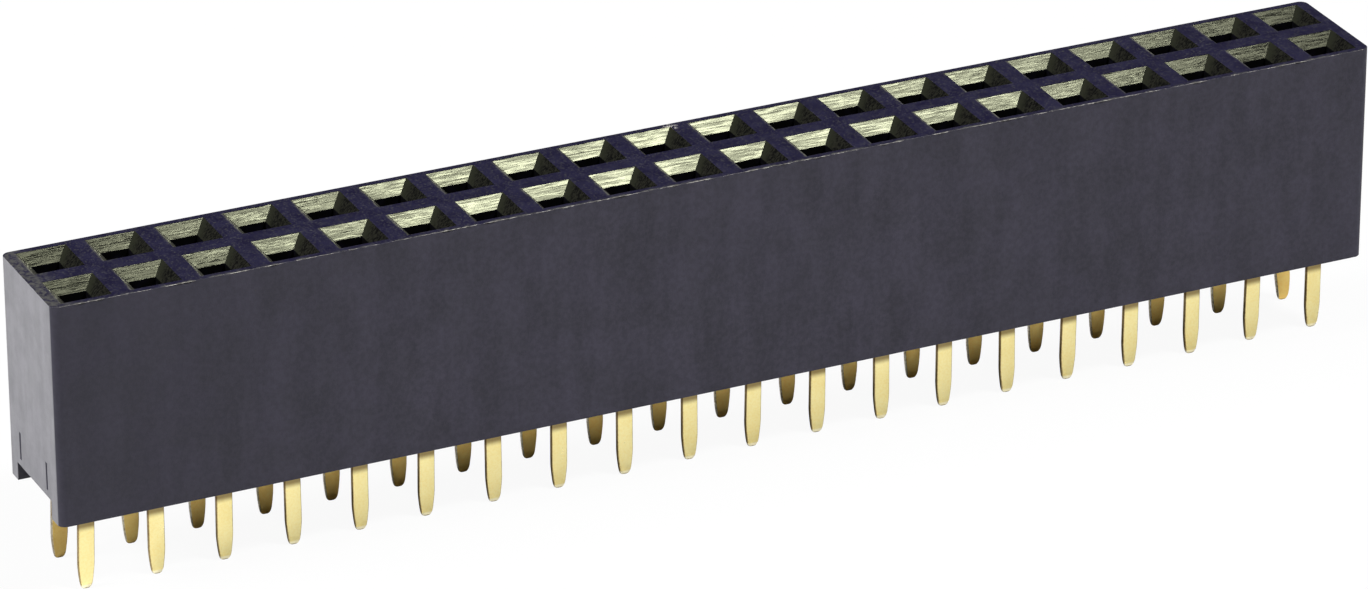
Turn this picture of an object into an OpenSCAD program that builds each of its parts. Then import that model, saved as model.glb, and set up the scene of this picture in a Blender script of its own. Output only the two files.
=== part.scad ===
// Female pin header strip: one moulded housing with two rows of stamped spring contacts.
// The strip runs along X and its sockets open towards +Z.
// The origin is under the middle of the strip, level with the tips of the solder tails.

/* [Strip] */
// Contacts in each row
positions = 20; // [2:1:29]
// Distance between neighbouring contacts in a row
pitch = 2.54; // [2.2:0.01:3]
// Distance between the two rows
row_gap = 2.54; // [2.2:0.01:3.5]

/* [Housing] */
// Height of the housing, from the underside of its rails to its top
body_h = 8.3; // [7.5:0.1:12]
// Plastic left between the last lead-in and the end of the strip
end_margin = 0.45; // [0.35:0.01:1.5]
// Plastic left between the lead-ins and the long sides
side_margin = 0.25; // [0.2:0.01:1]
// Radius of the four upright corners
corner_r = 0.3; // [0.1:0.05:0.45]
// Height of the two rails that the housing stands on
rail_h = 0.7; // [0.3:0.05:0.85]
// Width of each rail
rail_w = 0.8; // [0.5:0.05:1]

/* [Sockets] */
// Width of a square lead-in at the top face
lead_w = 1.83; // [1.4:0.01:2]
// Depth of the lead-in
lead_d = 0.42; // [0.2:0.01:0.6]
// Width of the square pin hole under the lead-in
pin_hole_w = 1; // [0.8:0.01:1.2]
// Thickness of the roof over the spring cavity, lead-in included
roof_t = 0.95; // [0.75:0.01:1.3]
// Width of the spring cavity along the strip
cavity_w = 1.7; // [1.5:0.01:1.9]
// Room between the springs and the walls of their cavity
spring_clear = 0.07; // [0.04:0.01:0.12]

/* [Contacts] */
// Thickness of the contact strip
strip_t = 0.2; // [0.15:0.01:0.3]
// Width of a solder tail
tail_w = 0.6; // [0.5:0.01:0.8]
// Length of a solder tail below the rails
tail_len = 3.1; // [2.5:0.05:12]
// Length of the tail's elliptical point
tip_len = 1.05; // [0.6:0.05:1.6]
// Width of the flat that ends the point
tip_w = 0.2; // [0.1:0.01:0.3]
// Thickness of the coined end of the point
tip_t = 0.1; // [0.06:0.01:0.14]
// Length of the coined bevels
coin_len = 0.28; // [0.15:0.01:0.5]
// Height above the rails' underside at which the tail starts to step aside
step_from = 0.1; // [0.05:0.01:0.3]
// Middle radius of the two bends in the step
step_r = 0.3; // [0.25:0.01:0.35]
// Length of the flat base that carries the barbs
base_len = 1.4; // [1.2:0.05:1.8]
// Height of the folded part at the root of the springs
fold_h = 1.2; // [0.8:0.05:1.6]
// Inner radius of the folds
fold_r = 0.12; // [0.08:0.01:0.16]
// Width of a spring at its root
spring_w = 0.72; // [0.6:0.01:0.8]
// How much narrower a spring is at its tip
spring_taper = 0.1; // [0:0.01:0.2]
// Gap between the two springs where they grip a pin
pinch_gap = 0.2; // [0.05:0.01:0.3]
// Middle radius of the knuckle that grips the pin
knuckle_r = 0.7; // [0.4:0.05:1]
// Height of the flared entry above the knuckle's centre
flare_h = 0.9; // [0.7:0.05:1]
// Outward lean of the flared entry, in degrees
flare_lean = 20; // [10:1:22]
// Room between the spring tips and the roof
tip_clear = 0.18; // [0.1:0.01:0.4]

/* [Hidden] */
ROWS = ["front", "rear"];

// Overshoot of a cut past the face that it opens
past = 1;
// Depth to which the formed stretches of a contact run into each other
lap = 0.1;
// Number of straight facets in each curve of a stamped contact
tip_steps = 4;
knuckle_steps = 2;
step_steps = 1;
outer_fold_steps = 2;
inner_fold_steps = 1;

body_l = (positions - 1) * pitch + lead_w + 2 * end_margin;
body_w = row_gap + lead_w + 2 * side_margin;

// Angle at which the flat cuts off the ellipse of the point
tip_from = asin(tip_w / tail_w);

// Contact heights, measured from the underside of the rails
step_lean = 45;
step_aside = (spring_w + strip_t) / 2;
step_slope = (step_aside - 2 * step_r * (1 - cos(step_lean))) / sin(step_lean);
step_top = step_from + 2 * step_r * sin(step_lean) + step_slope * cos(step_lean);
shoulder_h = 0.12;
base_top = step_top + base_len;
fold_top = base_top + fold_h;
spring_top = body_h - roof_t - tip_clear;
knuckle_z = spring_top - flare_h;

// Half widths of the contact along the strip
base_half = cavity_w / 2 - spring_clear;
barb_half = cavity_w / 2;
tongue_half = base_half - fold_r - strip_t - lap;
barb_h = 0.4;
barb_land = 0.1;
barb_gap = 0.15;

// Back and front of the spring cavity, measured from the pin's axis towards the long side
cavity_back = -(spring_w / 2 + strip_t);
cavity_front = spring_w / 2 + spring_clear;

// Small upright witness grooves that the mould leaves on each end, one beside each row
witness_r = 0.1;
witness_h = 1.05;
witness_z = rail_h + 0.25;
witness_cut = 0.05;

function contact_name(row, i) = str("contact_", row, "_", i < 9 ? "0" : "", i + 1);
function position_x(i) = (i - (positions - 1) / 2) * pitch;
function reversed(list) = [for (k = [len(list) - 1 : -1 : 0]) list[k]];

// Closed outline from the points of its right half, listed upwards
function mirrored_outline(half) = concat(half, [for (p = reversed(half)) if (p[0] > 0) [-p[0], p[1]]]);

// Rectangle with round corners, drawn about the origin
module rounded_plate(length, width, r) {
    square([length - 2 * r, width], center = true);
    square([length, width - 2 * r], center = true);
    for (sx = [-1, 1], sy = [-1, 1])
        translate([sx * (length / 2 - r), sy * (width / 2 - r)]) circle(r = r, $fn = 32);
}

// Profile drawn in the XZ plane and pushed along Y
module along_y(from, to) {
    translate([0, to, 0]) rotate([90, 0, 0]) linear_extrude(height = to - from) children();
}

// Profile drawn in the YZ plane and pushed along X, both ways from the middle
module along_x(half) {
    translate([-half, 0, 0]) rotate([90, 0, 90]) linear_extrude(height = 2 * half) children();
}

// Square funnel, wide at the top face and as narrow as the pin hole below
module lead_in() {
    spread = (lead_w - pin_hole_w) / 2 / lead_d;
    wide = lead_w / 2 + spread * past;
    narrow = pin_hole_w / 2;
    funnel = [[-narrow, -lead_d], [narrow, -lead_d], [wide, past], [-wide, past]];
    intersection() {
        along_y(-wide, wide) polygon(funnel);
        along_x(wide) polygon(funnel);
    }
}

// One socket: lead-in, pin hole and the cavity that the contact is pushed into from below.
// The hole runs on into the lead-in and the cavity, so that the three cuts are one.
module socket() {
    translate([0, 0, body_h]) lead_in();
    translate([-pin_hole_w / 2, -pin_hole_w / 2, body_h - roof_t - lead_d / 2])
        cube([pin_hole_w, pin_hole_w, roof_t]);
    translate([-cavity_w / 2, cavity_back, -past])
        cube([cavity_w, cavity_front - cavity_back, body_h - roof_t + past]);
}

module housing() {
    rail_in = body_w / 2 - rail_w;
    color([0.17, 0.165, 0.19]) translate([0, 0, tail_len]) difference() {
        linear_extrude(height = body_h) rounded_plate(body_l, body_w, corner_r);
        translate([-body_l / 2 - past, -rail_in, -past])
            cube([body_l + 2 * past, 2 * rail_in, rail_h + past]);
        for (row = ROWS, i = [0 : positions - 1]) at_position(row, i) socket();
        for (end = [-1, 1], side = [-1, 1])
            translate([end * (body_l / 2 + witness_r - witness_cut), side * row_gap / 2, witness_z])
                cylinder(r = witness_r, h = witness_h, $fn = 24);
    }
}

// Puts a socket or a contact in its place. The two rows face away from each other.
module at_position(row, i) {
    side = row == "rear" ? 1 : -1;
    translate([position_x(i), side * row_gap / 2, 0]) mirror([0, row == "rear" ? 0 : 1, 0]) children();
}

// Front outline of the tail and its base: blunt elliptical point, shoulders, and a barb on each side
// that bites into the wall of the cavity
function flat_half() = concat(
    [for (k = [0 : tip_steps]) let (a = tip_from + (90 - tip_from) * k / tip_steps)
        [tail_w / 2 * sin(a), -tail_len + tip_len * (1 - cos(a) / cos(tip_from))]],
    [[tail_w / 2, step_top], [base_half, step_top + shoulder_h],
     [base_half, step_top + barb_gap + barb_h], [barb_half, step_top + barb_gap + barb_h],
     [barb_half, step_top + barb_gap + barb_h + barb_land],
     [base_half, step_top + barb_gap + 2 * barb_h + barb_land],
     [base_half, base_top], [tongue_half, base_top], [tongue_half, base_top + lap]]);

// Middle line of the tail seen from the end: each entry is [y, z, lean from upright]
function side_path() = concat(
    [[0, -tail_len + coin_len, 0]],
    [for (k = [0 : step_steps]) let (a = step_lean * k / step_steps)
        [-step_r * (1 - cos(a)), step_from + step_r * sin(a), a]],
    [for (k = [step_steps : -1 : 0]) let (a = step_lean * k / step_steps)
        [-step_aside + step_r * (1 - cos(a)), step_top - step_r * sin(a), a]],
    [[-step_aside, base_top + lap, 0]]);

function side_face(side) = [for (p = side_path())
    [p[0] + side * strip_t / 2 * cos(p[2]), p[1] + side * strip_t / 2 * sin(p[2])]];

// Solder tail, its step aside and the flat base, with the point coined thin
module tail_and_base() {
    outline = concat([[tip_t / 2, -tail_len]], side_face(1), reversed(side_face(-1)),
                     [[-tip_t / 2, -tail_len]]);
    intersection() {
        along_y(-step_aside - strip_t, strip_t) polygon(mirrored_outline(flat_half()));
        along_x(cavity_w) polygon(outline);
    }
}

// Arc about (x, y) from straight back to straight out, as points
function quarter(x, y, r, steps) = [for (k = [0 : steps]) let (a = 90 * k / steps)
    [x + r * sin(a), y - r * cos(a)]];

// Channel section where the base folds into the two spring roots
module fold() {
    outer_r = fold_r + strip_t;
    inner = base_half - strip_t;
    back = -spring_w / 2;
    right_half = concat(
        quarter(base_half - outer_r, back - strip_t + outer_r, outer_r, outer_fold_steps),
        [[base_half, spring_w / 2], [inner, spring_w / 2]],
        reversed(quarter(inner - fold_r, back + fold_r, fold_r, inner_fold_steps)));
    translate([0, 0, base_top]) linear_extrude(height = fold_h) polygon(mirrored_outline(right_half));
}

// Knuckle circle: its middle line just keeps half the gap and half the strip from the axis
knuckle_x = pinch_gap / 2 + strip_t / 2 + knuckle_r;
root_x = base_half - strip_t / 2;
root_reach = norm([knuckle_x - root_x, knuckle_z - fold_top]);
root_lean = atan2(knuckle_x - root_x, knuckle_z - fold_top) - asin(knuckle_r / root_reach);

// Face of a spring seen from the front, on one side of its middle line
function spring_face(side) = let (r = knuckle_r + side * strip_t / 2) concat(
    [for (z = [fold_top - lap, fold_top]) [root_x - side * strip_t / 2, z]],
    [for (k = [0 : knuckle_steps]) let (a = root_lean + (flare_lean - root_lean) * k / knuckle_steps)
        [knuckle_x - r * cos(a), knuckle_z + r * sin(a)]],
    [[knuckle_x - r * cos(flare_lean)
          + (spring_top - knuckle_z - r * sin(flare_lean)) * tan(flare_lean), spring_top]]);

// One spring: it leans in from its root, grips the pin with a round knuckle and flares out
module spring() {
    root_y = -spring_w / 2 + fold_r;
    edges = [[root_y, fold_top - lap], [spring_w / 2, fold_top - lap], [spring_w / 2, fold_top],
             [spring_w / 2 - spring_taper, spring_top], [root_y, spring_top]];
    intersection() {
        along_y(-spring_w, spring_w) polygon(concat(spring_face(-1), reversed(spring_face(1))));
        along_x(cavity_w) polygon(edges);
    }
}

module contact() {
    tail_and_base();
    fold();
    spring();
    mirror([1, 0, 0]) spring();
}

housing();
for (row = ROWS, i = [0 : positions - 1])
    color([0.85, 0.76, 0.45]) translate([0, 0, tail_len]) at_position(row, i) contact();
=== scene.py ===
"""Looks of a female pin header strip: a moulded housing and two rows of stamped, gilt contacts.

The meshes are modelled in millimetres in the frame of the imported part, and shrunk to metres at the end.
"""

import math

import bmesh
import bpy
from bpy.props import FloatProperty, FloatVectorProperty, IntProperty, PointerProperty
from mathutils import Matrix, Vector


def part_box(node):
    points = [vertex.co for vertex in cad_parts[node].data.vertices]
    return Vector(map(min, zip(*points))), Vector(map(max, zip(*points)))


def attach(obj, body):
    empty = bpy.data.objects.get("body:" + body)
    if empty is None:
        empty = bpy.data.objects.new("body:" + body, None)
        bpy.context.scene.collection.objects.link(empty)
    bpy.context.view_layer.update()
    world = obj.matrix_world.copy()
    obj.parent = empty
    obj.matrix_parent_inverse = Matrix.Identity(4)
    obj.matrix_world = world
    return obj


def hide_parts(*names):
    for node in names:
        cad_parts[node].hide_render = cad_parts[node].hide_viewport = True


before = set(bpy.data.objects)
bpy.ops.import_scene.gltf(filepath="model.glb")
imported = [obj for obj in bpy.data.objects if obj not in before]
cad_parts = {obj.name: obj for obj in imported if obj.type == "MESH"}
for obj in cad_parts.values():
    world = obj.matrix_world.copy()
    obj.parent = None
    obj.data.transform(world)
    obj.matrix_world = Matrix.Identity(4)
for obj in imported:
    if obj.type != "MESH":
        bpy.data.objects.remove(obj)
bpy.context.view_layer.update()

bl_info = {
    "name": "Pin Header Strip",
    "version": (1, 0, 0),
    "blender": (4, 5, 0),
    "location": "3D View > Sidebar > Pin Header",
    "description": "Builds a two-row female pin header strip and its photo stage",
    "category": "Add Mesh",
}

BODY = "root"
MM = 1000.0
SHRINK = Matrix.Scale(1 / MM, 4)
ROWS = ("front", "rear")

# The housing's fixed sizes, in millimetres, and the rear lead-in with the chipped corner, counted from 0
LEAD_DEPTH = 0.42
RAIL_HEIGHT = 0.7
OUTER_SKIN = 0.1
CHIPPED = 9

# Tolerances in millimetres, angles and slopes that tell faces and edges apart
SAME_POINT = 0.0005
NEAR = 0.001
EASE = 0.01
FLAT_ANGLE = math.radians(0.5)
SHOWN_ANGLE = math.radians(25)
SHARP_ANGLE = math.radians(32)
LEVEL = 0.95
SQUARE_ON = 0.9999
CUT_EDGE = 0.6

# Area in square millimetres from which a face of the housing is shaded flat
WIDE_FACE = 0.3

# Steps of the round edges and curves
BEVEL_STEPS = 3
ROUND_STEPS = 3
TIP_TURNS = 5
TIP_STEPS = 12
BEND_STEPS = 5
OUTER_FOLD_STEPS = 6
INNER_FOLD_STEPS = 4
KNUCKLE_STEPS = 8

# The taper's exponent, the share of a half side that a round corner may take, and the step's angle
TIP_CURVE = 1.5
MOST_ROUND = 0.95
STEP_LEAN = math.radians(45)

# The contact's fixed lengths, in millimetres
SPRING_HALF = 0.36
BASE_FLARE = 0.12
BARB_RISE = 0.55
BARB_EDGE = 0.01
BARB_FLAT = 0.1
BARB_RUN = 0.5
OVERLAP = 0.1
MOUTH_INSET = 0.04

# Height above the rails' underside from which a tail leans, and the first rear tail's share of its lean
LEAN_FROM = 0.3
REAR_FIRST_LEAN = 0.5

# Depths of the relief, and of the painted shade on the gold below the rails, in millimetres
GRAIN_DEPTH = 0.004
ROLLING_DEPTH = 0.003
SHADE_FROM = 0.92
SHADE_FULL = 0.65

# How far rubbed bands, scuffs, painted bounce light in the lead-ins and the front tips' painted highlight
# reach, and from where they are full, with half the width of a soft switch, in millimetres
BAND_FADE = 0.09
BAND_FULL = 0.02
BAND_END = 0.05
RIM_FADE = 0.14
RIM_FULL = 0.03
LEFT_FADE = 1.2
LEFT_FULL = 0.1
CHIP_FADE = 0.35
CHIP_FULL = 0.1
BOUNCE_FADE = 0.7
BOUNCE_FULL = 0.05
SPOT_FADE = 0.17
SPOT_FULL = 0.1
TIP_RIM = 0.05
SOFT = 0.02

# Least roughness of each row's gold
FRONT_DULL = 0.24
REAR_DULL = 0.4

# The torn flash: its seat as a share of the edge's radius, its points' distance, their stray about the
# middle of the noise, the sides of its bead, the least and most size of a crumb, and its seed
FLASH_SEAT = 0.35
FLASH_STEP = 0.09
FLASH_STRAY = (0.0, 0.05, 0.03)
NOISE_MIDDLE = (0.5, 0.5, 0.5)
BEAD_SIDES = 6
CRUMB_LEAST = (0.5, 0.4, 0.3)
CRUMB_MOST = (1.6, 1.0, 0.9)
FLASH_SEED = 3

# Height at which the sky has faded in reflections, as a share of straight up, and the sensor's millimetres
HORIZON = 0.12
SENSOR_WIDTH = 36.0

# The stage, in metres, with each lamp's name, place, aim, size and power
FLOOR_HALF = 2.0
LAMPS = (
    ("overhead_box", (0.228, -0.256, 0.502), (0.0, 0.0, 0.006), (0.09, 0.09), 4.3),
    ("left_box", (-0.38, 0.024, 0.29), (-0.02, 0.0, 0.006), (0.2, 0.16), 3.3),
)


def in_mm(corner):
    return Vector(corner) * MM


def row_nodes(row):
    """The CAD names of one row's contacts, from the left."""
    return sorted(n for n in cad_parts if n.startswith(f"contact_{row}_"))


def node_middle(node):
    low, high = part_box(node)
    return (in_mm(low) + in_mm(high)) / 2


class Strip:
    """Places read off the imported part, in millimetres."""

    low, high = (in_mm(c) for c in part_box("housing"))
    contact_low, contact_high = (in_mm(c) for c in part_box(row_nodes("rear")[0]))
    length = high.x - low.x
    width = high.y - low.y
    rails_z = low.z
    top_z = high.z
    count = len(row_nodes("rear"))
    first_x = node_middle(row_nodes("rear")[0]).x
    pitch = (node_middle(row_nodes("rear")[-1]).x - first_x) / (count - 1)
    row_y = contact_high.y - SPRING_HALF
    spring_top = contact_high.z - rails_z
    barb_half = (contact_high.x - contact_low.x) / 2


# Node trees


class Value:
    """A number in a node tree. Sums on it add Math nodes."""

    def __init__(self, graph, socket):
        self.graph = graph
        self.socket = socket

    def __add__(self, other):
        return self.graph.math("ADD", self, other)

    def __radd__(self, other):
        return self.graph.math("ADD", other, self)

    def __sub__(self, other):
        return self.graph.math("SUBTRACT", self, other)

    def __rsub__(self, other):
        return self.graph.math("SUBTRACT", other, self)

    def __mul__(self, other):
        return self.graph.math("MULTIPLY", self, other)

    def __rmul__(self, other):
        return self.graph.math("MULTIPLY", other, self)

    def __truediv__(self, other):
        return self.graph.math("DIVIDE", self, other)

    def __rtruediv__(self, other):
        return self.graph.math("DIVIDE", other, self)


class Graph:
    """Adds and links nodes in one tree."""

    def __init__(self, tree):
        self.tree = tree

    def node(self, kind, settings=None, inputs=None, output=0):
        node = self.tree.nodes.new(kind)
        for key, value in (settings or {}).items():
            setattr(node, key, value)
        for key, value in (inputs or {}).items():
            socket = node.inputs[key]
            if isinstance(value, Value):
                self.tree.links.new(value.socket, socket)
            else:
                socket.default_value = value
        return Value(self, node.outputs[output])

    def math(self, operation, *values):
        return self.node("ShaderNodeMath", {"operation": operation}, dict(enumerate(values)))

    def ramp(self, value, low, high, start=0.0, end=1.0):
        """Smooth step from start to end while a value goes from low to high."""
        return self.node(
            "ShaderNodeMapRange",
            {"interpolation_type": "SMOOTHSTEP"},
            {"Value": value, "From Min": low, "From Max": high, "To Min": start, "To Max": end},
        )

    def mix(self, factor, first, second):
        """Colour between two colours."""
        node = self.tree.nodes.new("ShaderNodeMix")
        node.data_type = "RGBA"
        for name, value in (("Factor_Float", factor), ("A_Color", first), ("B_Color", second)):
            socket = next(s for s in node.inputs if s.identifier == name)
            if isinstance(value, Value):
                self.tree.links.new(value.socket, socket)
            else:
                socket.default_value = (*value, 1.0) if name != "Factor_Float" else value
        return Value(self, next(s for s in node.outputs if s.identifier == "Result_Color"))


class Finish(Graph):
    """A material with one Principled shader."""

    def __init__(self, name, constants):
        self.material = bpy.data.materials.new(name)
        self.material.use_nodes = True
        super().__init__(self.material.node_tree)
        self.shader = self.tree.nodes["Principled BSDF"]
        for key, value in constants.items():
            self.shader.inputs[key].default_value = value
        coordinates = self.node("ShaderNodeTexCoord", output="Object")
        self.point = self.node(
            "ShaderNodeVectorMath", {"operation": "SCALE"}, {0: coordinates, "Scale": MM}
        )
        split = self.node("ShaderNodeSeparateXYZ", inputs={0: self.point}).socket.node
        self.x, self.y, self.z = (Value(self, s) for s in split.outputs)

    def noise(self, scale, stretch=(1, 1, 1), detail=3.0, roughness=0.5, distortion=0.0):
        """Noise at so many grains a millimetre, drawn out along an axis by a small stretch."""
        place = self.node(
            "ShaderNodeVectorMath", {"operation": "MULTIPLY"}, {0: self.point, 1: stretch}
        )
        inputs = {
            "Vector": place,
            "Scale": scale,
            "Detail": detail,
            "Roughness": roughness,
            "Distortion": distortion,
        }
        return self.node("ShaderNodeTexNoise", inputs=inputs)

    def bump(self, height, depth, normal=None):
        """Relief of a height map, with its depth in millimetres."""
        inputs = {"Height": height, "Distance": depth / MM, "Strength": 1.0}
        if normal:
            inputs["Normal"] = normal
        return self.node("ShaderNodeBump", inputs=inputs)

    def feed(self, socket, value):
        self.tree.links.new(value.socket, self.shader.inputs[socket])


# Materials


def moulded_plastic(settings):
    """Black moulding: a soft mottle and a fine spark-eroded grain, with streaky grey ends, partly painted
    sheen.
    """
    skin = Finish("moulded_plastic", {"Specular IOR Level": settings.gloss, "IOR": 1.5})
    mottle = skin.ramp(skin.noise(0.7, detail=5.0, roughness=0.65), 0.35, 0.68)
    grain = skin.noise(14.0, detail=3.0, roughness=0.6)
    outside = skin.math("ABSOLUTE", skin.x)
    on_end = skin.ramp(outside, Strip.length / 2 - 2 * EASE, Strip.length / 2 - EASE / 2)
    streaks = skin.ramp(skin.noise(2.6, (0.4, 1.0, 0.12), detail=4.0), 0.3, 0.72)
    streaks = 0.5 * streaks + 0.5 * skin.ramp(skin.noise(1.2, detail=5.0, roughness=0.7), 0.35, 0.65)
    specks = skin.ramp(skin.noise(5.0, detail=4.0, roughness=0.7), 0.35, 0.65)
    bands = skin.ramp(skin.noise(1.4, (1.0, 1.0, 0.2), detail=4.0), 0.35, 0.65)
    uneven = 0.4 * mottle + 0.35 * specks + 0.25 * bands
    uneven = uneven * skin.ramp(skin.x, -Strip.length / 2, -Strip.length / 5, start=0.6)
    side = skin.mix(uneven, settings.plastic, settings.plastic_pale)
    # The ends' light grey is partly scuffs and partly a painted sheen of the light from the left
    end = skin.mix(streaks, settings.end, settings.end_pale)
    skin.feed("Base Color", skin.mix(on_end, side, end))
    skin.feed("Roughness", 0.5 + 0.1 * mottle + 0.08 * grain - 0.06 * on_end)
    skin.feed("Normal", skin.bump(grain, GRAIN_DEPTH))
    return skin.material


def web_plastic(settings):
    """The flat top: a bluish bloom with fine specks, rubbed grey in bands and along the edge."""
    skin = Finish("web_plastic", {"Specular IOR Level": settings.web_gloss, "IOR": 1.5})
    grain = skin.noise(14.0, detail=3.0, roughness=0.6)
    bloom = skin.ramp(skin.noise(1.3, detail=5.0, roughness=0.7), 0.35, 0.65)
    color = skin.mix(bloom, settings.web, settings.web_pale)
    color = skin.mix(0.4 * skin.ramp(grain, 0.5, 0.75), color, settings.web_scuffed)
    color = skin.mix(worn_bands(skin, settings), color, settings.web_scuffed)
    color = skin.mix(chipped_corner(skin, settings), color, settings.flash_pale)
    skin.feed("Base Color", color)
    skin.feed("Roughness", 0.42 + 0.12 * grain)
    skin.feed("Normal", skin.bump(grain, GRAIN_DEPTH))
    return skin.material


def worn_bands(skin, settings):
    """Rubbed grey: beside the left edge of some lead-ins, behind the front edge, at the left end."""
    half = settings.lead_w * MM / 2
    across = cell(skin.x, Strip.first_x, Strip.pitch)
    along = skin.math("ABSOLUTE", cell(skin.y, Strip.row_y, 2 * Strip.row_y))
    band = skin.ramp(across, -half - BAND_FADE, -half - BAND_FULL) * skin.ramp(across, 0.0, -half)
    band = band * skin.ramp(along, half + BAND_END, half - BAND_END)
    patches = skin.ramp(skin.noise(0.5, detail=2.0), 0.42, 0.6)
    rubbed = skin.ramp(skin.noise(7.0, detail=4.0, roughness=0.7), 0.3, 0.6)
    from_front = skin.y + Strip.width / 2
    rim = skin.ramp(from_front, RIM_FADE, RIM_FULL)
    rim = rim * skin.ramp(skin.noise(1.8, detail=4.0), 0.4, 0.65)
    from_left = skin.x + Strip.length / 2
    scuffs = skin.ramp(skin.noise(5.0, detail=5.0, roughness=0.75), 0.38, 0.6)
    left = 0.6 * skin.ramp(from_left, LEFT_FADE, LEFT_FULL) * scuffs
    worn = skin.math("MAXIMUM", band * patches * rubbed, rim * rubbed)
    return skin.math("MAXIMUM", worn, left)


def chipped_corner(skin, settings):
    """Pale specks round the chipped corner of one rear lead-in, near the middle of the strip."""
    half = settings.lead_w * MM / 2
    corner = (Strip.first_x + CHIPPED * Strip.pitch + half, Strip.row_y + half, Strip.top_z)
    away = skin.node(
        "ShaderNodeVectorMath", {"operation": "DISTANCE"}, {0: skin.point, 1: corner}, output=1
    )
    specks = skin.ramp(skin.noise(9.0, detail=4.0, roughness=0.8), 0.5, 0.6)
    return skin.ramp(away, CHIP_FADE, CHIP_FULL) * specks


def cell(value, middle, pitch):
    """Place within one cell of the grid of pins, measured from the pin's axis."""
    return (value.graph.math("FRACT", (value - middle) / pitch + 0.5) - 0.5) * pitch


def lead_in_plastic(settings):
    """The lead-ins: the same plastic off a ground core, so glossy and finely striped across.

    Their right faces have a painted bounce light beside the rear ones, and their left faces are paler.
    """
    tint = (*settings.lead_tint, 1.0)
    skin = Finish(
        "lead_in_plastic", {"Specular IOR Level": settings.lead_gloss, "Specular Tint": tint}
    )
    stripes = skin.noise(13.0, (0.06, 1.0, 1.0), detail=2.5, roughness=0.55, distortion=0.2)
    shiny = skin.ramp(stripes, 0.36, 0.64)
    patches = skin.noise(1.1, detail=3.0)
    across = cell(skin.x, Strip.first_x, Strip.pitch)
    along = cell(skin.y, Strip.row_y, 2 * Strip.row_y)
    # Painted bounce light: each right face is paler towards its edge with the rear face
    dust_and_bounce_light = skin.ramp(across - along, BOUNCE_FADE, BOUNCE_FULL) * skin.ramp(across - along, -SOFT, SOFT)
    left = skin.ramp(across + skin.math("ABSOLUTE", along), SOFT, -SOFT)
    color = skin.mix(shiny, settings.lead_in, settings.lead_in_pale)
    color = skin.mix(0.9 * left, color, settings.web_scuffed)
    skin.feed("Base Color", skin.mix(dust_and_bounce_light, color, settings.lead_in_bounce_light))
    skin.feed("Roughness", 0.07 + 0.15 * shiny + 0.05 * patches)
    skin.feed("Normal", skin.bump(stripes, settings.stripe_depth * MM))
    return skin.material


def inside_plastic(settings):
    """Walls of the pin holes and cavities: dull and nearly black, a painted shade of their depth."""
    skin = Finish("inside_plastic", {"Specular IOR Level": 0.03})
    dust_and_bounce_light = skin.ramp(skin.noise(3.0, detail=4.0), 0.4, 0.8, end=0.3)
    skin.feed("Base Color", skin.mix(dust_and_bounce_light, settings.inside, settings.plastic))
    skin.feed("Roughness", 0.7 + 0.2 * dust_and_bounce_light)
    return skin.material


def gilding(name, gold, gold_deep, settings, rear):
    """Gold flash on rolled strip: faint rolling lines along the tail and cloudy patches.

    Shade is painted on it just under the housing, on the rear row's first tails and as a dark rim at each
    tip.
    Front tails' ends have a painted highlight inside the rim. The rear row is a painted shaded copy, and
    duller.
    """
    skin = Finish(name, {"Metallic": 1.0})
    rolled = skin.noise(7.0, (1.0, 1.0, 0.06))
    clouds = skin.ramp(skin.noise(0.9, detail=3.0), 0.3, 0.75)
    specks = skin.ramp(skin.noise(11.0, detail=3.0, roughness=0.7), 0.4, 0.65)
    color = skin.mix(0.5 * clouds + 0.5 * specks, gold, gold_deep)
    if rear:
        # Painted shade on the rear row's first tails
        left_end_shade = skin.ramp(skin.x, Strip.first_x + 2 * Strip.pitch, Strip.first_x)
        color = skin.mix(0.4 * left_end_shade, color, settings.gold_painted_shade)
    else:
        # Painted highlight near the front tails' ends
        color = skin.mix(0.6 * skin.ramp(skin.z, SPOT_FADE, SPOT_FULL), color, settings.gold_painted_highlight)
    # Painted shade just under the housing, and a painted dark rim at each tail's end
    housing_shade = skin.ramp(skin.z, Strip.rails_z - SHADE_FROM, Strip.rails_z - SHADE_FULL)
    rim = skin.ramp(skin.z, TIP_RIM, 0.0)
    color = skin.mix(0.8 * skin.math("MAXIMUM", housing_shade, rim), color, settings.gold_painted_shade)
    skin.feed("Base Color", color)
    dull = REAR_DULL if rear else FRONT_DULL
    skin.feed("Roughness", dull + 0.1 * rolled + 0.06 * clouds + 0.04 * specks)
    skin.feed("Normal", skin.bump(rolled, ROLLING_DEPTH))
    return skin.material


def torn_flash(settings):
    """Thin flash torn off along the top edge, pale in torn spots; its grey is partly painted highlight and
    glints.
    """
    skin = Finish("torn_flash", {"Specular IOR Level": 0.3})
    frayed_and_glint = skin.ramp(skin.noise(5.0, detail=4.0), 0.43, 0.63)
    skin.feed("Base Color", skin.mix(frayed_and_glint, settings.flash, settings.flash_pale))
    skin.feed("Roughness", 0.6 + 0.2 * frayed_and_glint)
    return skin.material


# Meshes


def make_mesh(name, bm):
    mesh = bpy.data.meshes.new(name)
    bm.to_mesh(mesh)
    bm.free()
    return mesh


def make_object(name, mesh):
    obj = bpy.data.objects.new(name, mesh)
    bpy.context.scene.collection.objects.link(obj)
    return obj


def evaluated(obj):
    """The plain mesh that an object's modifiers make, with the object gone."""
    graph = bpy.context.evaluated_depsgraph_get()
    mesh = bpy.data.meshes.new_from_object(obj.evaluated_get(graph))
    bpy.data.objects.remove(obj)
    return mesh


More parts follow.
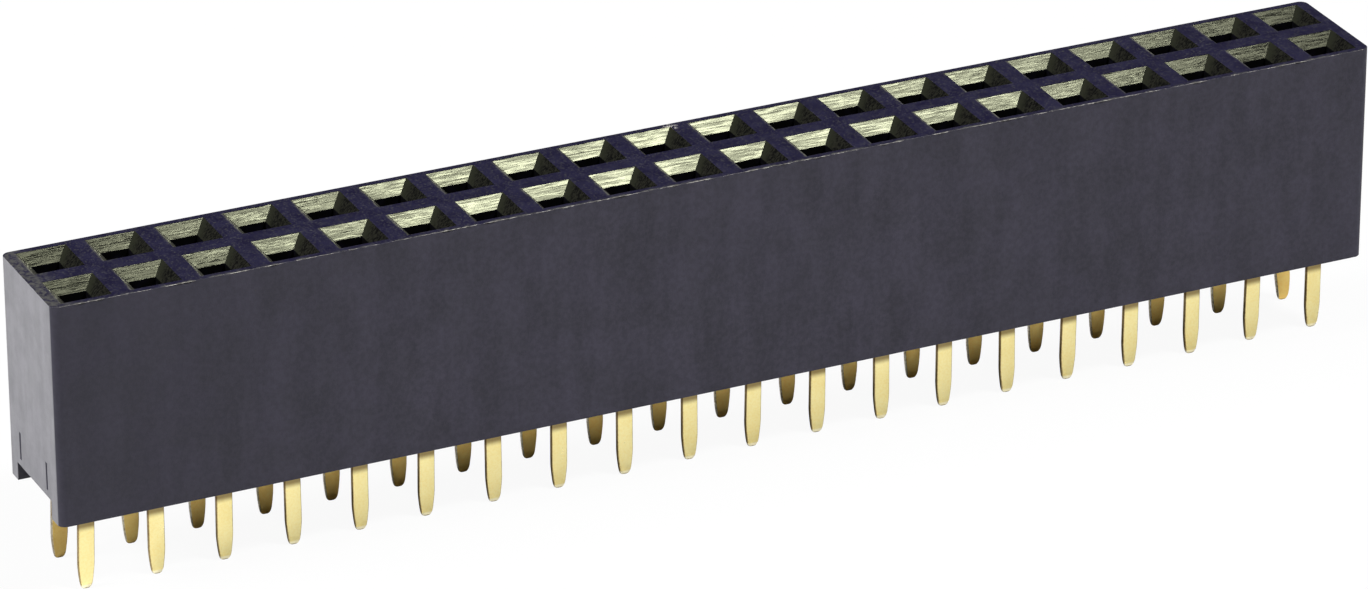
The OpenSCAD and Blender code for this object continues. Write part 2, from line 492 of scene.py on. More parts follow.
def add_piece(name, mesh, replaced=(), materials=(), smooth=True):
    """Shrinks a millimetre mesh, dresses it and puts it on the body."""
    mesh.transform(SHRINK)
    for material in materials:
        mesh.materials.append(material)
    rounded = [smooth or face.use_smooth for face in mesh.polygons]
    mesh.shade_smooth()
    mesh.set_sharp_from_angle(angle=SHARP_ANGLE)
    mesh.polygons.foreach_set("use_smooth", rounded)
    piece = make_object(name, mesh)
    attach(piece, BODY)
    if replaced:
        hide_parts(*replaced)


def ring(half_width, half_height, radius):
    """Rectangle with round corners, as points about its middle."""
    radius = min(radius, MOST_ROUND * half_width, MOST_ROUND * half_height)
    points = []
    for quarter, (sx, sy) in enumerate(((1, 1), (-1, 1), (-1, -1), (1, -1))):
        for k in range(ROUND_STEPS + 1):
            angle = math.radians(90 * (quarter + k / ROUND_STEPS))
            x = sx * (half_width - radius) + radius * math.cos(angle)
            y = sy * (half_height - radius) + radius * math.sin(angle)
            points.append((x, y))
    return points


def loft(bm, rings):
    """Skins a closed form over rings of equally many points."""
    rows = [[bm.verts.new(p) for p in points] for points in rings]
    count = len(rows[0])
    for low, high in zip(rows, rows[1:]):
        for k in range(count):
            bm.faces.new((low[k], low[(k + 1) % count], high[(k + 1) % count], high[k]))
    bm.faces.new(list(reversed(rows[0])))
    bm.faces.new(rows[-1])


def closed_mesh(name, rings):
    bm = bmesh.new()
    loft(bm, rings)
    bmesh.ops.recalc_face_normals(bm, faces=bm.faces)
    return make_mesh(name, bm)


# Housing

HOUSING_FINISHES = ("side", "web", "lead_in", "inside")


def is_shown_edge(edge):
    """True for the sharp edges that can be seen: outside, round the lead-ins and on the rails."""
    if len(edge.link_faces) != 2 or edge.calc_face_angle(0.0) < SHOWN_ANGLE:
        return False
    low_z = min(v.co.z for v in edge.verts)
    if low_z > Strip.top_z - LEAD_DEPTH - 2 * EASE:
        return True
    on_side = all(abs(v.co.y) > Strip.width / 2 - NEAR for v in edge.verts)
    on_end = all(abs(v.co.x) > Strip.length / 2 - NEAR for v in edge.verts)
    on_rail = all(v.co.z < Strip.rails_z + NEAR for v in edge.verts)
    return on_side or on_end or on_rail


def housing_mesh(settings):
    """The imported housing, with its flat faces cleaned and its visible edges rounded."""
    bm = bmesh.new()
    bm.from_mesh(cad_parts["housing"].data)
    bmesh.ops.scale(bm, vec=(MM, MM, MM), verts=bm.verts)
    bmesh.ops.remove_doubles(bm, verts=bm.verts, dist=SAME_POINT)
    bmesh.ops.dissolve_limit(bm, angle_limit=FLAT_ANGLE, verts=bm.verts, edges=bm.edges)
    edges = [e for e in bm.edges if is_shown_edge(e)]
    bmesh.ops.bevel(
        bm,
        geom=edges,
        offset=settings.edge_radius * MM,
        offset_type="OFFSET",
        segments=BEVEL_STEPS,
        profile=0.5,
        affect="EDGES",
        clamp_overlap=True,
    )
    bmesh.ops.recalc_face_normals(bm, faces=bm.faces)
    for face in bm.faces:
        finish = face_finish(face)
        face.material_index = HOUSING_FINISHES.index(finish)
        square = max(abs(value) for value in face.normal) > SQUARE_ON
        face.smooth = not square and face.calc_area() < WIDE_FACE
    return make_mesh("housing_look", bm)


def face_finish(face):
    """Name of the finish that a face of the housing has."""
    middle = face.calc_center_median()
    depth = Strip.top_z - middle.z
    if depth < 2 * EASE and face.normal.z > LEVEL:
        return "web"
    from_side = Strip.width / 2 - abs(middle.y)
    from_end = Strip.length / 2 - abs(middle.x)
    if min(from_side, from_end) < OUTER_SKIN or middle.z < Strip.rails_z + RAIL_HEIGHT + EASE:
        return "side"
    return "lead_in" if depth < LEAD_DEPTH - EASE else "inside"


# Contacts


def tip_heights(s):
    """Heights above the tip at which the point's width is set, close together at the round end."""
    end = s.tip_round * MM
    taper = s.tip_len * MM - end
    turns = [end * (1 - math.cos(math.radians(90 * k / TIP_TURNS))) for k in range(TIP_TURNS)]
    return turns + [end + taper * (k / TIP_STEPS) for k in range(TIP_STEPS + 1)]


def tip_half(s, z):
    """Half the width of the point: it tapers nearly straight to a blunt end with round corners."""
    blunt = s.tip_taper_w * MM / 2
    half = s.tail_w * MM / 2
    width = half - (half - blunt) * max(0.0, 1 - z / (s.tip_len * MM)) ** TIP_CURVE
    below = max(0.0, 1 - z / (s.tip_round * MM))
    return width - (blunt - s.tip_w * MM / 2) * (1 - math.sqrt(1 - below * below))


def tail_stations(s):
    """Tail, step and base as (y, z, lean, half width, half thickness), from the tip upwards."""
    tail_len = Strip.rails_z
    thick = s.strip_t * MM / 2
    tip_thick = s.tip_t * MM / 2
    half = s.tail_w * MM / 2
    coin_len = s.coin_len * MM
    aside = (s.spring_w + s.strip_t) * MM / 2
    radius = s.step_r * MM
    slope = (aside - 2 * radius * (1 - math.cos(STEP_LEAN))) / math.sin(STEP_LEAN)
    step_from = s.step_from * MM
    step_top = step_from + 2 * radius * math.sin(STEP_LEAN) + slope * math.cos(STEP_LEAN)
    base_half = Strip.barb_half - s.spring_clear * MM

    def coined(z):
        share = min(1.0, (z + tail_len) / coin_len)
        return tip_thick + (thick - tip_thick) * share * share * (3 - 2 * share)

    stations = []
    for z in tip_heights(s):
        stations.append((0, z - tail_len, 0, tip_half(s, z), coined(z - tail_len)))
    for k in range(BEND_STEPS + 1):
        a = STEP_LEAN * k / BEND_STEPS
        stations.append(
            (-radius * (1 - math.cos(a)), step_from + radius * math.sin(a), a, half, thick)
        )
    for k in range(BEND_STEPS, -1, -1):
        a = STEP_LEAN * k / BEND_STEPS
        y = -aside + radius * (1 - math.cos(a))
        stations.append((y, step_top - radius * math.sin(a), a, half, thick))
    barb_from = step_top + BARB_RISE
    profile = (
        (step_top + BASE_FLARE, base_half),
        (barb_from - BARB_EDGE, base_half),
        (barb_from, Strip.barb_half),
        (barb_from + BARB_FLAT, Strip.barb_half),
        (barb_from + BARB_RUN, base_half),
        (step_top + s.base_len * MM, base_half),
    )
    stations += [(-aside, z, 0, width, thick) for z, width in profile]
    return stations, step_top + s.base_len * MM, base_half


def tail_mesh(s):
    stations, base_top, base_half = tail_stations(s)
    rings = []
    for y, z, lean, half, thick in stations:
        outline = ring(half, thick, s.strip_round * MM)
        rings.append([(u, y + v * math.cos(lean), z + v * math.sin(lean)) for u, v in outline])
    return closed_mesh("tail", rings), base_top, base_half


def arc(x, y, radius, steps):
    """Quarter arc about (x, y), from straight back to straight out."""
    angles = [math.radians(90 * k / steps) for k in range(steps + 1)]
    return [(x + radius * math.sin(a), y - radius * math.cos(a)) for a in angles]


def fold_mesh(s, base_top, base_half):
    """Channel section between the base and the springs."""
    thick = s.strip_t * MM
    inner_r = s.fold_r * MM
    outer_r = inner_r + thick
    inner = base_half - thick
    back = -s.spring_w * MM / 2
    half = arc(base_half - outer_r, back - thick + outer_r, outer_r, OUTER_FOLD_STEPS)
    half += [(base_half, -back), (inner, -back)]
    half += reversed(arc(inner - inner_r, back + inner_r, inner_r, INNER_FOLD_STEPS))
    outline = half + [(-x, y) for x, y in reversed(half)]
    heights = (base_top - OVERLAP, base_top + s.fold_h * MM)
    return closed_mesh("fold", [[(x, y, z) for x, y in outline] for z in heights])


def spring_mesh(s, side, base_top, base_half):
    """One spring on its middle line: up from the fold, round the knuckle and out at the mouth."""
    thick = s.strip_t * MM
    radius = s.knuckle_r * MM
    fold_top = base_top + s.fold_h * MM
    knuckle_x = (s.pinch_gap * MM + thick) / 2 + radius
    knuckle_z = Strip.spring_top - s.flare_h * MM
    root_x = base_half - thick / 2
    reach = math.hypot(knuckle_x - root_x, knuckle_z - fold_top)
    root_lean = math.atan2(knuckle_x - root_x, knuckle_z - fold_top) - math.asin(radius / reach)
    flare = s.flare_lean
    path = [(root_x, fold_top - OVERLAP, 0.0), (root_x, fold_top, root_lean / 2)]
    for k in range(KNUCKLE_STEPS + 1):
        a = root_lean + (flare - root_lean) * k / KNUCKLE_STEPS
        path.append((knuckle_x - radius * math.cos(a), knuckle_z + radius * math.sin(a), a))
    last_x, last_z, _ = path[-1]
    mouth_z = Strip.spring_top - MOUTH_INSET
    path.append((last_x + (mouth_z - last_z) * math.tan(flare), mouth_z, flare))
    back = -s.spring_w * MM / 2 + s.fold_r * MM
    front = s.spring_w * MM / 2
    rings = []
    for x, z, a in path:
        taper = s.spring_taper * MM * (z - fold_top) / (Strip.spring_top - fold_top)
        edge = front - max(0.0, taper)
        middle = (edge + back) / 2
        outline = ring((edge - back) / 2, thick / 2, s.strip_round * MM)
        points = [(side * (x - v * math.cos(a)), middle + u, z + v * math.sin(a)) for u, v in outline]
        rings.append(points)
    return closed_mesh("spring", rings)


def contact_mesh(s):
    """One whole contact about its pin axis, with z = 0 at the underside of the rails."""
    tail, base_top, base_half = tail_mesh(s)
    host = make_object("contact", tail)
    parts = [fold_mesh(s, base_top, base_half)]
    parts += [spring_mesh(s, side, base_top, base_half) for side in (-1, 1)]
    cutters = [make_object(mesh.name, mesh) for mesh in parts]
    for cutter in cutters:
        joint = host.modifiers.new("joined", "BOOLEAN")
        joint.operation = "UNION"
        joint.solver = "EXACT"
        joint.object = cutter
    mesh = evaluated(host)
    for cutter in cutters:
        bpy.data.objects.remove(cutter)
    return mesh


def new_tree(name, sizes):
    """A geometry tree with named number inputs and one geometry each way."""
    tree = bpy.data.node_groups.new(name, "GeometryNodeTree")
    face = tree.interface
    face.new_socket("Geometry", in_out="INPUT", socket_type="NodeSocketGeometry")
    face.new_socket("Geometry", in_out="OUTPUT", socket_type="NodeSocketGeometry")
    for label, kind in sizes.items():
        face.new_socket(label, in_out="INPUT", socket_type=kind)
    graph = Graph(tree)
    entry = tree.nodes.new("NodeGroupInput")
    inputs = {s.name: Value(graph, s) for s in entry.outputs if s.name}
    return graph, inputs


def end_tree(graph, geometry, material, other=None, chosen=None):
    """Closes a tree with Realize Instances and Set Material, with another on the chosen faces."""
    solid = graph.node("GeometryNodeRealizeInstances", inputs={0: geometry})
    dressed = graph.node(
        "GeometryNodeSetMaterial", inputs={"Geometry": solid, "Material": material}
    )
    if other:
        dressed = graph.node(
            "GeometryNodeSetMaterial",
            inputs={"Geometry": dressed, "Selection": chosen, "Material": other},
        )
    leave = graph.tree.nodes.new("NodeGroupOutput")
    graph.tree.links.new(dressed.socket, leave.inputs[0])


def run_tree(host, graph, values):
    """Gives an object a tree's modifier, sets its inputs by identifier and returns the result."""
    modifier = host.modifiers.new(graph.tree.name, "NODES")
    modifier.node_group = graph.tree
    for item in graph.tree.interface.items_tree:
        if item.item_type == "SOCKET" and item.in_out == "INPUT" and item.name in values:
            modifier[item.identifier] = values[item.name]
    return evaluated(host)


def row_tree(material, edge_material):
    """Sets copies of a contact in a row and leans each tail a little, the end ones more."""
    sizes = {
        "Count": "NodeSocketInt",
        "First X": "NodeSocketFloat",
        "Pitch": "NodeSocketFloat",
        "Row Y": "NodeSocketFloat",
        "Rails Z": "NodeSocketFloat",
        "Turn": "NodeSocketFloat",
        "Lean": "NodeSocketFloat",
        "First Lean": "NodeSocketFloat",
        "Last Lean": "NodeSocketFloat",
        "Seed": "NodeSocketInt",
    }
    graph, given = new_tree("contact_row", sizes)
    start = graph.node(
        "ShaderNodeCombineXYZ",
        inputs={0: given["First X"], 1: given["Row Y"], 2: given["Rails Z"]},
    )
    step = graph.node("ShaderNodeCombineXYZ", inputs={0: given["Pitch"]})
    line = graph.node(
        "GeometryNodeMeshLine",
        inputs={"Count": given["Count"], "Start Location": start, "Offset": step},
    )
    turn = graph.node("ShaderNodeCombineXYZ", inputs={2: given["Turn"]})
    row = graph.node(
        "GeometryNodeInstanceOnPoints",
        inputs={"Points": line, "Instance": given["Geometry"], "Rotation": turn},
    )
    index = graph.node("GeometryNodeInputIndex")
    lean = graph.node(
        "FunctionNodeRandomValue",
        {"data_type": "FLOAT_VECTOR"},
        {0: (-1.0, -1.0, 0.0), 1: (1.0, 1.0, 0.0), "ID": index, "Seed": given["Seed"]},
    )
    lean = graph.node(
        "ShaderNodeVectorMath", {"operation": "SCALE"}, {0: lean, "Scale": given["Lean"]}
    )
    is_last = graph.math("GREATER_THAN", index, given["Count"] - 1.5)
    is_first = graph.math("LESS_THAN", index, 0.5)
    bent = is_last * given["Last Lean"] - is_first * given["First Lean"]
    bent = graph.node("ShaderNodeCombineXYZ", inputs={0: bent})
    lean = graph.node("ShaderNodeVectorMath", {"operation": "ADD"}, {0: lean, 1: bent})
    row = graph.node(
        "GeometryNodeStoreNamedAttribute",
        {"data_type": "FLOAT_VECTOR", "domain": "INSTANCE"},
        {"Geometry": row, "Name": "lean", "Value": lean},
    )
    row = graph.node("GeometryNodeRealizeInstances", inputs={0: row})
    own = graph.node("GeometryNodeInputNamedAttribute", {"data_type": "FLOAT_VECTOR"}, {0: "lean"})
    place = graph.node("GeometryNodeInputPosition")
    height = graph.node("ShaderNodeSeparateXYZ", inputs={0: place}, output=2)
    below = graph.ramp(height, given["Rails Z"] + LEAN_FROM, 0.0)
    shift = graph.node("ShaderNodeVectorMath", {"operation": "SCALE"}, {0: own, "Scale": below})
    row = graph.node("GeometryNodeSetPosition", inputs={"Geometry": row, "Offset": shift})
    end_tree(graph, row, material, edge_material, on_cut_edge(graph, height, given["Rails Z"]))
    return graph


def on_cut_edge(graph, height, rails_z):
    """True on the cut edges of the tails, which look along the strip."""
    normal = graph.node("GeometryNodeInputNormal")
    along = graph.math("ABSOLUTE", graph.node("ShaderNodeSeparateXYZ", inputs={0: normal}))
    return graph.math("GREATER_THAN", along, CUT_EDGE) * graph.math("LESS_THAN", height, rails_z)


# Flash along the top edge


def flash_tree(material):
    """A thin ragged bead along a line of points, with torn crumbs on it."""
    sizes = {
        "Radius": "NodeSocketFloat",
        "Crumb": "NodeSocketFloat",
        "Crumb Share": "NodeSocketFloat",
        "Seed": "NodeSocketInt",
    }
    graph, given = new_tree("edge_flash", sizes)
    curve = graph.node("GeometryNodeMeshToCurve", inputs={0: given["Geometry"]})
    wander = graph.node("ShaderNodeTexNoise", inputs={"Scale": 1.4, "Detail": 4.0})
    place = graph.node("ShaderNodeTexNoise", inputs={"Scale": 2.3, "Detail": 3.0}, output=1)
    offset = graph.node(
        "ShaderNodeVectorMath", {"operation": "SUBTRACT"}, {0: place, 1: NOISE_MIDDLE}
    )
    offset = graph.node(
        "ShaderNodeVectorMath", {"operation": "MULTIPLY"}, {0: offset, 1: FLASH_STRAY}
    )
    curve = graph.node("GeometryNodeSetPosition", inputs={"Geometry": curve, "Offset": offset})
    thick = graph.ramp(wander, 0.35, 0.7, start=0.6, end=1.3) * given["Radius"]
    profile = graph.node(
        "GeometryNodeCurvePrimitiveCircle",
        {"mode": "RADIUS"},
        {"Resolution": BEAD_SIDES, "Radius": 1.0},
    )
    bead = graph.node(
        "GeometryNodeCurveToMesh",
        inputs={"Curve": curve, "Profile Curve": profile, "Scale": thick, "Fill Caps": True},
    )
    crumb = graph.node("GeometryNodeMeshIcoSphere", inputs={"Radius": 1.0, "Subdivisions": 1})
    chosen = graph.node(
        "FunctionNodeRandomValue",
        {"data_type": "BOOLEAN"},
        {"Probability": given["Crumb Share"], "Seed": given["Seed"]},
        output=3,
    )
    size = graph.node(
        "FunctionNodeRandomValue",
        {"data_type": "FLOAT_VECTOR"},
        {0: CRUMB_LEAST, 1: CRUMB_MOST, "Seed": given["Seed"]},
    )
    size = graph.node(
        "ShaderNodeVectorMath", {"operation": "SCALE"}, {0: size, "Scale": given["Crumb"]}
    )
    crumbs = graph.node(
        "GeometryNodeInstanceOnPoints",
        inputs={"Points": curve, "Selection": chosen, "Instance": crumb, "Scale": size},
    )
    both = graph.tree.nodes.new("GeometryNodeJoinGeometry")
    for part in (bead, crumbs):
        graph.tree.links.new(part.socket, both.inputs[0])
    end_tree(graph, Value(graph, both.outputs[0]), material)
    return graph


def edge_line(settings):
    """Points along the front top edge, as a line mesh."""
    inset = settings.edge_radius * MM * FLASH_SEAT
    reach = Strip.length / 2 - settings.corner * MM
    steps = int(2 * reach / FLASH_STEP)
    bm = bmesh.new()
    points = [
        bm.verts.new((-reach + 2 * reach * k / steps, -Strip.width / 2 + inset, Strip.top_z - inset))
        for k in range(steps + 1)
    ]
    for a, b in zip(points, points[1:]):
        bm.edges.new((a, b))
    return make_mesh("edge_line", bm)


# Stage


def floor_material(settings):
    """White paper: the camera sees most of its own white, so the shadow on it is faint."""
    material = bpy.data.materials.new("paper_floor")
    material.use_nodes = True
    tree = material.node_tree
    tree.nodes.clear()
    graph = Graph(tree)
    paper = graph.node("ShaderNodeBsdfDiffuse", inputs={"Color": (*settings.floor, 1.0)})
    white = graph.node("ShaderNodeEmission", inputs={"Strength": 1.0})
    camera = graph.node("ShaderNodeLightPath")
    mixed = graph.node(
        "ShaderNodeMixShader", inputs={0: camera * settings.floor_white, 1: paper, 2: white}
    )
    leave = tree.nodes.new("ShaderNodeOutputMaterial")
    tree.links.new(mixed.socket, leave.inputs["Surface"])
    return material


def set_world(settings):
    """Soft even light. The camera sees white, and gloss sees white that fades above the horizon."""
    world = bpy.data.worlds.new("studio")
    world.use_nodes = True
    tree = world.node_tree
    tree.nodes.clear()
    graph = Graph(tree)
    path = tree.nodes.new("ShaderNodeLightPath")
    camera = Value(graph, path.outputs["Is Camera Ray"])
    glossy = Value(graph, path.outputs["Is Glossy Ray"])
    through = Value(graph, path.outputs["Is Transmission Ray"])
    direction = graph.node("ShaderNodeTexCoord", output="Generated")
    height = graph.node("ShaderNodeSeparateXYZ", inputs={0: direction}, output=2)
    fade = graph.ramp(height, 0.0, HORIZON, start=1.0, end=settings.sky_gloss)
    seen = glossy + through
    level = camera + (1 - camera) * (seen * fade + (1 - seen) * settings.sky)
    light = graph.node("ShaderNodeBackground", inputs={"Color": (1, 1, 1, 1), "Strength": level})
    leave = tree.nodes.new("ShaderNodeOutputWorld")
    tree.links.new(light.socket, leave.inputs["Surface"])
    bpy.context.scene.world = world


def add_lamp(name, place, aim, size, power):
    """A soft box at a place in metres, turned to its aim."""
    lamp = bpy.data.lights.new(name, "AREA")
    lamp.shape = "RECTANGLE"
    lamp.size, lamp.size_y = size
    lamp.energy = power
    obj = make_object(name, lamp)
    obj.location = place
    obj.rotation_euler = (Vector(aim) - Vector(place)).to_track_quat("-Z", "Y").to_euler()


def view_axes(azimuth, elevation):
    """Where the camera looks, and its right and up, for an azimuth about +Z and an elevation."""
    level = math.cos(elevation)
    forward = Vector((math.sin(azimuth) * level, math.cos(azimuth) * level, -math.sin(elevation)))
    right = forward.cross(Vector((0, 0, 1))).normalized()
    return forward, right, right.cross(forward)


def add_camera(settings):
    """The photograph's camera: a long lens from the front left, looking down."""
    forward, right, up = view_axes(settings.azimuth, settings.elevation)
    roll = Matrix.Rotation(settings.roll, 3, forward)
    right, up = roll @ right, roll @ up
    turn = Matrix((right, up, -forward)).transposed().to_4x4()
    camera = bpy.data.cameras.new("photo_camera")
    camera.sensor_fit = "HORIZONTAL"
    camera.sensor_width = SENSOR_WIDTH
    camera.lens = settings.lens
    obj = make_object("photo_camera", camera)
    obj.matrix_world = Matrix.Translation(Vector(settings.aim) - forward * settings.distance) @ turn
    bpy.context.scene.camera = obj


# Settings


def length(name, description, default):
    return FloatProperty(
        name=name, description=description, default=default, unit="LENGTH", precision=5, min=0.0
    )


def tint(name, description, default):
    return FloatVectorProperty(
        name=name, description=description, default=default, subtype="COLOR", min=0.0, max=1.0
    )


class HeaderHousing(bpy.types.PropertyGroup):
    edge_radius: length("Edge radius", "Rounding of the moulded edges", 0.00005)
    corner: length("Corner", "Length of the round upright corners, free of flash", 0.0003)
    lead_w: length("Lead-in", "Width of a lead-in at the top face", 0.00183)
    gloss: FloatProperty(name="Gloss", description="Specular level of the plastic", default=0.42)
    plastic: tint("Plastic", "Colour of the long sides", (0.006, 0.005, 0.014))
    plastic_pale: tint("Pale plastic", "Lighter mottle on the sides", (0.029, 0.026, 0.044))
    web_gloss: FloatProperty(
        name="Web gloss", description="Specular level of the flat top", default=0.2
    )
    web: tint("Web", "Colour of the flat top", (0.005, 0.004, 0.017))
    web_pale: tint("Pale web", "Lighter specks of the flat top", (0.010, 0.009, 0.026))
    web_scuffed: tint("Scuffed web", "Rubbed bands on the flat top", (0.085, 0.084, 0.070))
    # Painted shade: the hole walls are darker than the plastic itself
    inside: tint("Inside", "Colour of the hole walls", (0.001, 0.001, 0.001))
    # The ends' colours are partly scuffs and partly a painted sheen of the light from the left
    end: tint("End", "Colour of the scuffed ends", (0.120, 0.119, 0.130))
    end_pale: tint("Pale end", "Lighter streaks on the ends", (0.165, 0.162, 0.178))
    lead_gloss: FloatProperty(
        name="Lead-in gloss", description="Specular level in the lead-ins", default=0.085
    )
    stripe_depth: length("Stripe depth", "Depth of the stripes in the lead-ins", 0.000007)
    lead_in: tint("Lead-in", "Colour of the lead-ins", (0.003, 0.003, 0.003))
    lead_in_pale: tint("Pale lead-in", "Lighter stripes in the lead-ins", (0.012, 0.012, 0.009))
    # Painted bounce light on the lead-ins' right faces
    lead_in_bounce_light: tint("Painted bounce light", "Dust on the right face of a lead-in", (0.014, 0.015, 0.010))
    lead_tint: tint("Lead-in sheen", "Tint of the sheen in the lead-ins", (0.96, 1.0, 0.66))
    # On the flash, its grey and pale spots are partly a painted highlight and glints of the front edge
    flash: tint("Flash", "Colour of the torn flash", (0.19, 0.18, 0.17))
    flash_pale: tint("Pale flash", "Frayed flash", (0.55, 0.53, 0.48))
    flash_radius: length("Flash radius", "Half the thickness of the flash", 0.00003)
    crumb: length("Crumb", "Half the size of a torn crumb", 0.000035)
    crumb_share: FloatProperty(
        name="Crumb share", description="Share of the flash's points with a crumb", default=0.22
    )


class HeaderContact(bpy.types.PropertyGroup):
    strip_t: length("Strip", "Thickness of the strip", 0.0002)
    strip_round: length("Strip rounding", "Rounding of the strip's edges", 0.00005)
    tail_w: length("Tail width", "Width of a solder tail", 0.0006)
    tip_len: length("Point", "Length of the tapered point", 0.001)
    tip_taper_w: length("Point width", "Width to which the point tapers", 0.00038)
    tip_round: length("Point rounding", "Height of the round corners of its end", 0.00014)
    tip_w: length("Point end", "Width of the flat that ends the point", 0.0002)
    tip_t: length("Point thickness", "Thickness of the coined end", 0.0001)
    coin_len: length("Coined length", "Length of the coined bevels", 0.00028)
    step_from: length("Step start", "Height at which the tail steps aside", 0.0001)
    step_r: length("Step radius", "Middle radius of the step's bends", 0.0003)
    base_len: length("Base", "Length of the flat base with the barbs", 0.0014)
    fold_h: length("Fold", "Height of the folded root", 0.0012)
    fold_r: length("Fold radius", "Inner radius of the folds", 0.00012)
    spring_w: length("Spring width", "Width of a spring at its root", 0.00072)
    spring_taper: length("Spring taper", "How much narrower a spring's tip is", 0.0001)
    spring_clear: length("Clearance", "Room between contact and cavity", 0.00007)
    pinch_gap: length("Pinch gap", "Gap between the springs", 0.0002)
    knuckle_r: length("Knuckle", "Middle radius of the knuckle", 0.0007)
    flare_h: length("Flare height", "Height of the flared mouth", 0.0009)
    flare_lean: FloatProperty(
        name="Flare", description="Lean of the mouth", default=math.radians(20), subtype="ANGLE"
    )
    lean: length("Tail lean", "How far tail tips stray from their grid", 0.00004)
    first_lean: length("First tail's lean", "How far the first front tail is bent", 0.00012)
    last_lean: length("Last tail's lean", "How far the last rear tail is bent", 0.0002)
    seed: IntProperty(name="Seed", description="Seed of the tails' lean", default=7)
    gold: tint("Gold", "Colour of the gold flash", (0.93, 0.82, 0.40))
    gold_deep: tint("Deep gold", "Deeper patches of the gold flash", (0.90, 0.74, 0.30))
    # The rear row's gold is a browner, painted shaded copy of the front row's
    rear_gold_shaded: tint("Rear gold", "Colour of the rear row", (0.95, 0.72, 0.25))
    rear_gold_deep_shaded: tint("Rear deep gold", "Deeper patches of the rear row", (0.95, 0.64, 0.18))
    # Painted highlight near the front tails' ends
    gold_painted_highlight: tint("Bright gold", "Bright spot near a tail's end", (1.0, 0.97, 0.80))
    # Painted shade: under the housing, at the tails' ends and on the first rear tails
    gold_painted_shade: tint("Painted gold shade", "Painted gold shade under the housing", (0.10, 0.055, 0.018))
    # Painted highlight on the rear row's cut edges
    rear_edge_highlight: tint("Rear cut edge", "Paler cut edges of the rear row", (0.95, 0.90, 0.74))
    # Painted shade on the cut edges: the front row's colour and the darker patches of both rows
    cut_edge: tint("Cut edge", "Painted shade on the front row's cut edges", (0.56, 0.43, 0.20))
    cut_edge_deep_shade: tint("Dark cut edge", "Darker painted shade on the cut edges", (0.28, 0.18, 0.06))


class HeaderStage(bpy.types.PropertyGroup):
    azimuth: FloatProperty(
        name="Azimuth", description="Turn of the view", default=math.radians(25.195), subtype="ANGLE"
    )
    elevation: FloatProperty(
        name="Elevation", description="Tilt of the view", default=math.radians(25.415), subtype="ANGLE"
    )
    roll: FloatProperty(
        name="Roll", description="Roll of the view", default=math.radians(0.118), subtype="ANGLE"
    )
    distance: length("Distance", "From the camera to its aim", 0.26422)
    aim: FloatVectorProperty(
        name="Aim", description="Point that the camera looks at", default=(-0.000701, 0.000328, 0.005687),
        unit="LENGTH", precision=5,
    )
    lens: FloatProperty(name="Lens", description="Focal length in millimetres", default=195.85)
    floor: tint("Floor", "Colour of the paper", (0.58, 0.58, 0.58))
    floor_white: FloatProperty(
        name="Floor white", description="Share of plain white that the camera sees", default=0.94
    )
    sky: FloatProperty(name="Sky", description="Strength of the even light", default=0.12)
    sky_gloss: FloatProperty(
        name="Sky in gloss", description="Strength of the high sky in reflections", default=0.03
    )


# Operators


class HEADER_OT_housing(bpy.types.Operator):
    """Builds the moulded housing with rounded edges"""

    bl_idname = "header.housing"
    bl_label = "Housing"

    def execute(self, context):
        settings = context.scene.header_housing
        finishes = (moulded_plastic, web_plastic, lead_in_plastic, inside_plastic)
        materials = [finish(settings) for finish in finishes]
        mesh = housing_mesh(settings)
        add_piece("housing_look", mesh, ["housing"], materials, smooth=False)
        return {"FINISHED"}


class HEADER_OT_flash(bpy.types.Operator):
    """Adds the thin torn flash along the front top edge"""

    bl_idname = "header.flash"
    bl_label = "Edge flash"

    def execute(self, context):
        settings = context.scene.header_housing
        values = {
            "Radius": settings.flash_radius * MM,
            "Crumb": settings.crumb * MM,
            "Crumb Share": settings.crumb_share,
            "Seed": FLASH_SEED,
        }
        host = make_object("edge_line", edge_line(settings))
        mesh = run_tree(host, flash_tree(torn_flash(settings)), values)
        for vertex in mesh.vertices:
            vertex.co.y = max(vertex.co.y, Strip.low.y)
            vertex.co.z = min(vertex.co.z, Strip.high.z)
        add_piece("edge_flash", mesh)
        return {"FINISHED"}


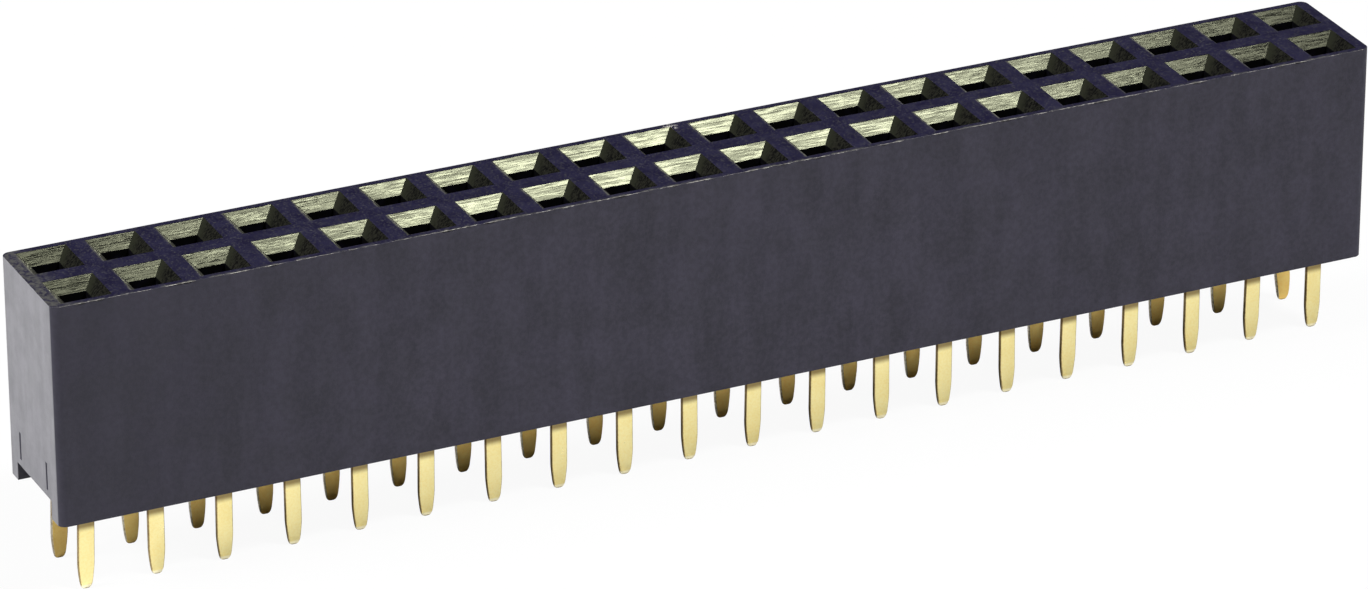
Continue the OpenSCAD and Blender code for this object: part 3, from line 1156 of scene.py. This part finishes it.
class HEADER_OT_contacts(bpy.types.Operator):
    """Builds one stamped contact and sets it in two rows"""

    bl_idname = "header.contacts"
    bl_label = "Contacts"

    def execute(self, context):
        settings = context.scene.header_contact
        contact = contact_mesh(settings)
        for row in ROWS:
            rear = row == "rear"
            # The rear row takes the painted shaded copy of the gold
            gold = settings.rear_gold_shaded if rear else settings.gold
            gold_deep = settings.rear_gold_deep_shaded if rear else settings.gold_deep
            material = gilding(f"gilding_{row}", gold, gold_deep, settings, rear)
            # The front row's cut edges get painted shade, the rear row's a painted highlight
            edge = settings.rear_edge_highlight if rear else settings.cut_edge
            edge_material = gilding(f"cut_edge_{row}", edge, settings.cut_edge_deep_shade, settings, rear)
            graph = row_tree(material, edge_material)
            side = 1 if rear else -1
            values = {
                "Count": Strip.count,
                "First X": Strip.first_x,
                "Pitch": Strip.pitch,
                "Row Y": side * self.row_offset(row),
                "Rails Z": Strip.rails_z,
                "Turn": 0.0 if rear else math.pi,
                "Lean": settings.lean * MM,
                "First Lean": settings.first_lean * MM * (REAR_FIRST_LEAN if rear else 1.0),
                "Last Lean": settings.last_lean * MM if rear else 0.0,
                "Seed": settings.seed + side,
            }
            mesh = run_tree(make_object(row, contact.copy()), graph, values)
            add_piece(f"contacts_{row}", mesh, row_nodes(row))
        return {"FINISHED"}

    def row_offset(self, row):
        """Distance of a row's pin axes from the strip's middle: the springs' front edge is known."""
        settings = bpy.context.scene.header_contact
        low, high = (in_mm(c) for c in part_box(row_nodes(row)[0]))
        return max(abs(low.y), abs(high.y)) - settings.spring_w * MM / 2


class HEADER_OT_stage(bpy.types.Operator):
    """Lays the white floor and sets the lamps, the world and the camera"""

    bl_idname = "header.stage"
    bl_label = "Stage"

    def execute(self, context):
        settings = context.scene.header_stage
        bm = bmesh.new()
        bmesh.ops.create_grid(bm, x_segments=1, y_segments=1, size=FLOOR_HALF)
        mesh = make_mesh("floor", bm)
        mesh.materials.append(floor_material(settings))
        make_object("floor", mesh)
        set_world(settings)
        for lamp in LAMPS:
            add_lamp(*lamp)
        add_camera(settings)
        context.scene.view_settings.view_transform = "Standard"
        return {"FINISHED"}


class HEADER_PT_panel(bpy.types.Panel):
    """Lists the steps that build the strip"""

    bl_idname = "HEADER_PT_panel"
    bl_label = "Pin Header"
    bl_space_type = "VIEW_3D"
    bl_region_type = "UI"
    bl_category = "Pin Header"

    def draw(self, context):
        for step in STEPS:
            self.layout.operator(step.bl_idname)


STEPS = (HEADER_OT_housing, HEADER_OT_flash, HEADER_OT_contacts, HEADER_OT_stage)
SETTINGS = {
    "header_housing": HeaderHousing,
    "header_contact": HeaderContact,
    "header_stage": HeaderStage,
}


def register():
    for cls in (*SETTINGS.values(), *STEPS, HEADER_PT_panel):
        bpy.utils.register_class(cls)
    for name, group in SETTINGS.items():
        setattr(bpy.types.Scene, name, PointerProperty(type=group))


def unregister():
    for name in SETTINGS:
        delattr(bpy.types.Scene, name)
    for cls in reversed((*SETTINGS.values(), *STEPS, HEADER_PT_panel)):
        bpy.utils.unregister_class(cls)


def main():
    register()
    for step in STEPS:
        group, name = step.bl_idname.split(".")
        getattr(getattr(bpy.ops, group), name)()


if __name__ == "__main__":
    main()
